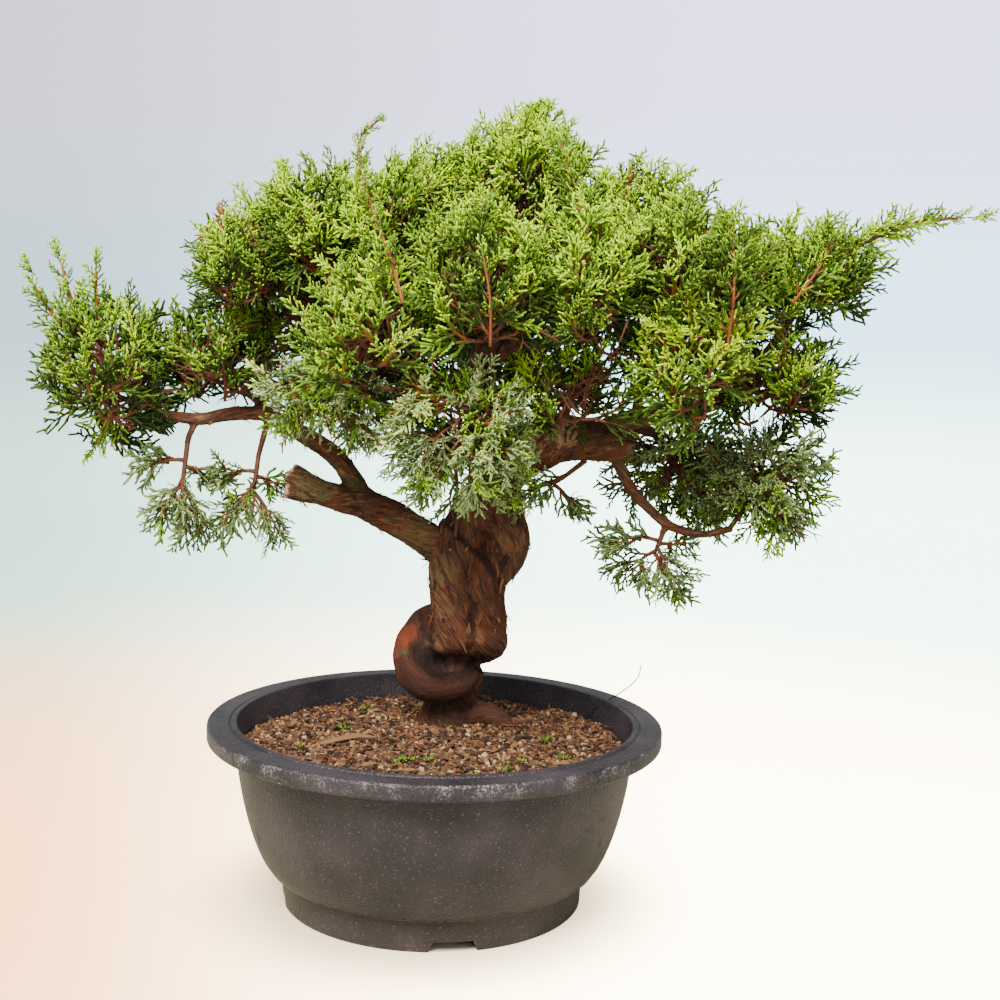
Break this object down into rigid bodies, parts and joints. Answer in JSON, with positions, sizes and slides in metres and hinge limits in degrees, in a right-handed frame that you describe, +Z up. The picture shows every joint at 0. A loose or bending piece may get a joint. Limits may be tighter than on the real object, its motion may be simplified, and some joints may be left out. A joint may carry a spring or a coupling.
{
  "type": "juniper bonsai in a round training pot",
  "caption": "Bonsai juniper with a coiled trunk, spreading boughs and dense masses of scale-leaf foliage, in a round footed plastic pot filled with granular soil.",
  "frame": {"origin": "on the surface that the pot stands on, under the middle of the whole plant's bounding box", "axes": "+Z up, +X to the right along the crown's longest reach as seen from the front, +Y towards the back"},
  "size_m": [0.504, 0.2656, 0.425],
  "materials": {
    "pot_plastic": "matte",
    "soil_grain": "matte",
    "bark": "matte",
    "foliage_green": "matte",
    "foliage_yellow": "matte"
  },
  "bodies": {
    "root": {"pot": "pot_plastic", "soil": "soil_grain", "trunk": "bark", "left_bough": "bark", "left_stub": "bark", "left_bough_outer": "bark", "left_bough_tip": "bark", "left_mid_twig": "bark", "left_weep_twig": "bark", "left_inner_twig": "bark", "upper_left_bough": "bark", "upper_left_crown_twig": "bark", "front_left_twig": "bark", "upper_mid_left_twig": "bark", "center_left_front_twig": "bark", "center_front_twig": "bark", "center_low_front_twig": "bark", "right_limb": "bark", "right_bough": "bark", "right_upper_twig": "bark", "right_front_twig": "bark", "right_far_twig": "bark", "right_low_bough": "bark", "right_weep_twig": "bark", "center_right_low_twig": "bark", "yellow_twig": "bark", "back_left_bough": "bark", "back_top_bough": "bark", "back_right_bough": "bark", "back_low_bough": "bark", "back_right_low_bough": "bark", "foliage_left_end": "foliage_green", "foliage_left_mid": "foliage_green", "foliage_left_weep": "foliage_green", "foliage_left_inner": "foliage_green", "foliage_upper_left": "foliage_green", "foliage_upper_left_crown": "foliage_green", "foliage_front_left": "foliage_green", "foliage_upper_mid_left": "foliage_green", "foliage_center_left_front": "foliage_green", "foliage_top": "foliage_green", "foliage_top_left": "foliage_green", "foliage_center_front": "foliage_green", "foliage_center_low_front": "foliage_green", "foliage_center_right_front": "foliage_green", "foliage_center_right_low": "foliage_green", "foliage_yellow": "foliage_yellow", "foliage_right_front": "foliage_green", "foliage_crown_right": "foliage_green", "foliage_right_upper": "foliage_green", "foliage_right_far": "foliage_green", "foliage_right_mid": "foliage_green", "foliage_right_low": "foliage_green", "foliage_right_weep": "foliage_green", "foliage_inner": "foliage_green", "foliage_back_left": "foliage_green", "foliage_back_top": "foliage_green", "foliage_back_right": "foliage_green", "foliage_back_low": "foliage_green", "foliage_back_right_low": "foliage_green"}
  },
  "joints": []
}
